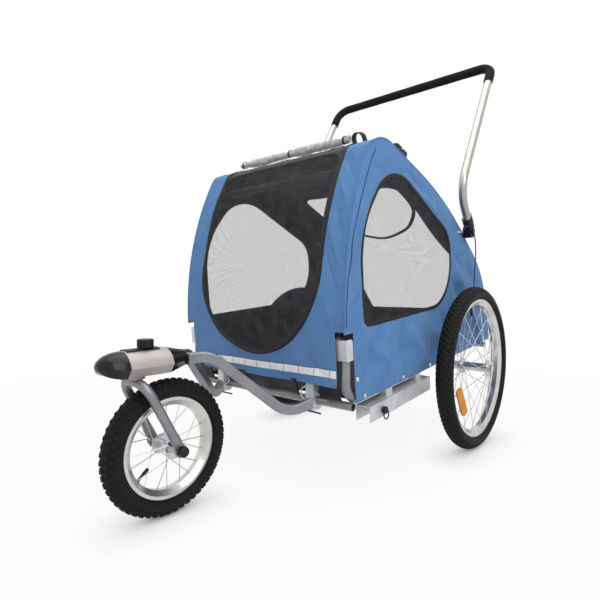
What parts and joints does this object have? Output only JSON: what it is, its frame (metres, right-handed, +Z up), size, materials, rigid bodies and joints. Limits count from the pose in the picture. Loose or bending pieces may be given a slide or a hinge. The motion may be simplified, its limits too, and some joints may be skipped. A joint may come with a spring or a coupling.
{
  "type": "dog bike trailer",
  "caption": "Fabric pet cabin on a folding tube frame with spoked rear wheels, a swivelling front wheel on a removable arm set and a tall push handle, to tow or push a dog.",
  "frame": {"origin": "on the floor, under the middle of the outline seen from above", "axes": "+X forward to the swivelling front wheel, +Y to the trailer's left, +Z up"},
  "size_m": [1.3342, 0.8266, 1.2885],
  "materials": {
    "silver_tube": "satin silver paint",
    "galvanised_steel": "zinc plated sheet",
    "zinc_steel": "bright zinc",
    "rim_alloy": "polished",
    "head_alloy": "satin anodised",
    "blue_cloth": "coated polyester",
    "black_cloth": "woven webbing and cloth",
    "black_mesh": "open mesh",
    "floor_board": "cloth covered board",
    "reflective_tape": "reflective tape",
    "clear_film": "clear rolled film",
    "black_plastic": "moulded",
    "white_wire": "white coated wire",
    "tyre_rubber": "knobbly tread",
    "foam": "soft foam",
    "black_cord": "braided cord",
    "amber_plastic": "prismatic reflector"
  },
  "bodies": {
    "chassis": {"base_side_tubes": "silver_tube", "base_cross_tubes": "silver_tube", "floor_panel": "floor_board", "fold_brackets": "silver_tube", "axle_receivers": "galvanised_steel", "rear_axles": "zinc_steel", "tow_channel": "galvanised_steel", "jogger_arm_left": "silver_tube", "jogger_arm_right": "silver_tube", "jogger_brackets": "galvanised_steel", "lock_clips": "white_wire", "bracket_tabs": "black_plastic", "head_shell": "head_alloy", "head_end_caps": "black_plastic", "knob_plate": "galvanised_steel", "cabin_left_wall": "blue_cloth", "cabin_right_wall": "blue_cloth", "cabin_front_panel": "blue_cloth", "cabin_roof_panel": "black_cloth", "front_skirt": "black_cloth", "left_window_mesh": "black_mesh", "right_window_mesh": "black_mesh", "front_door_mesh": "black_mesh", "rear_window_mesh": "black_mesh", "front_door_binding": "black_cloth", "window_bindings": "black_cloth", "reflective_strip": "reflective_tape"},
    "front_hoop": {"front_hoop_tube": "silver_tube", "hoop_collars": "black_plastic"},
    "rear_hoop": {"rear_hoop_tube": "silver_tube", "handle_brackets": "galvanised_steel", "handle_knuckles": "black_plastic", "lanyard_cord": "black_cord", "rain_cover_roll": "clear_film", "rain_cover_ties": "black_cloth", "roof_buckle": "black_plastic"},
    "push_handle": {"push_handle_tube": "silver_tube", "handle_grip": "foam", "handle_sockets": "black_plastic"},
    "handle_pin_left": {"handle_pin_left": "zinc_steel"},
    "handle_pin_right": {"handle_pin_right": "zinc_steel"},
    "caster_fork": {"fork": "silver_tube", "front_axle": "black_plastic"},
    "front_wheel": {"front_tyre": "tyre_rubber", "front_rim": "rim_alloy", "front_spokes": "zinc_steel", "front_hub": "rim_alloy"},
    "rear_wheel_left": {"rear_tyre_left": "tyre_rubber", "rear_rim_left": "rim_alloy", "rear_spokes_left": "zinc_steel", "rear_hub_left": "rim_alloy", "spoke_reflector_left": "amber_plastic"},
    "rear_wheel_right": {"rear_tyre_right": "tyre_rubber", "rear_rim_right": "rim_alloy", "rear_spokes_right": "zinc_steel", "rear_hub_right": "rim_alloy"},
    "swivel_knob": {"swivel_knob": "black_plastic"},
    "tow_pin": {"tow_pin": "zinc_steel"},
    "jogger_pin_left": {"jogger_pin_left": "zinc_steel"},
    "jogger_pin_right": {"jogger_pin_right": "zinc_steel"}
  },
  "joints": [
    {"name": "rear_wheel_left_spin", "type": "hinge", "parent": "chassis", "child": "rear_wheel_left", "pos_m": [-0.3459, 0.359, 0.25], "axis": [0, 1, 0], "continuous": true},
    {"name": "rear_wheel_right_spin", "type": "hinge", "parent": "chassis", "child": "rear_wheel_right", "pos_m": [-0.3459, -0.359, 0.25], "axis": [0, 1, 0], "continuous": true},
    {"name": "caster_swivel", "type": "hinge", "parent": "chassis", "child": "caster_fork", "pos_m": [0.59161, 0, 0.315], "axis": [0, 0, 1], "continuous": true},
    {"name": "front_wheel_spin", "type": "hinge", "parent": "caster_fork", "child": "front_wheel", "pos_m": [0.51211, 0, 0.149], "axis": [0, 1, 0], "continuous": true},
    {"name": "swivel_knob_turn", "type": "hinge", "parent": "chassis", "child": "swivel_knob", "pos_m": [0.5631, 0, 0.368], "axis": [0, 0, 1], "range_deg": [0, 90]},
    {"name": "rear_hoop_fold", "type": "hinge", "parent": "chassis", "child": "rear_hoop", "pos_m": [-0.64897, 0, 0.34465], "axis": [0, 1, 0], "range_deg": [0, 30], "deforming": ["cabin_left_wall", "cabin_right_wall", "cabin_front_panel", "cabin_roof_panel", "left_window_mesh", "right_window_mesh", "front_door_mesh", "rear_window_mesh", "front_door_binding", "window_bindings", "reflective_strip"]},
    {"name": "front_hoop_fold", "type": "hinge", "parent": "chassis", "child": "front_hoop", "pos_m": [0.22617, 0, 0.36445], "axis": [0, -1, 0], "range_deg": [0, 72], "deforming": ["cabin_left_wall", "cabin_right_wall", "cabin_front_panel", "cabin_roof_panel", "left_window_mesh", "right_window_mesh", "front_door_mesh", "rear_window_mesh", "front_door_binding", "window_bindings", "reflective_strip"]},
    {"name": "handle_tilt", "type": "hinge", "parent": "rear_hoop", "child": "push_handle", "pos_m": [-0.4219, 0, 0.682], "axis": [0, 1, 0], "range_deg": [-60, 30]},
    {"name": "handle_pin_left_pull", "type": "slide", "parent": "push_handle", "child": "handle_pin_left", "axis": [-0.6289, 0, 0.7775], "range_m": [0, 0.04]},
    {"name": "handle_pin_right_pull", "type": "slide", "parent": "push_handle", "child": "handle_pin_right", "axis": [-0.6289, 0, 0.7775], "range_m": [0, 0.04]},
    {"name": "tow_pin_pull", "type": "slide", "parent": "chassis", "child": "tow_pin", "axis": [0, 1, 0], "range_m": [0, 0.03]},
    {"name": "jogger_pin_left_pull", "type": "slide", "parent": "chassis", "child": "jogger_pin_left", "axis": [0, 1, 0], "range_m": [0, 0.04]},
    {"name": "jogger_pin_right_pull", "type": "slide", "parent": "chassis", "child": "jogger_pin_right", "axis": [0, -1, 0], "range_m": [0, 0.04]}
  ],
  "couplings": [
    {"joint": "front_hoop_fold", "follows": "rear_hoop_fold", "ratio": 2.4}
  ]
}
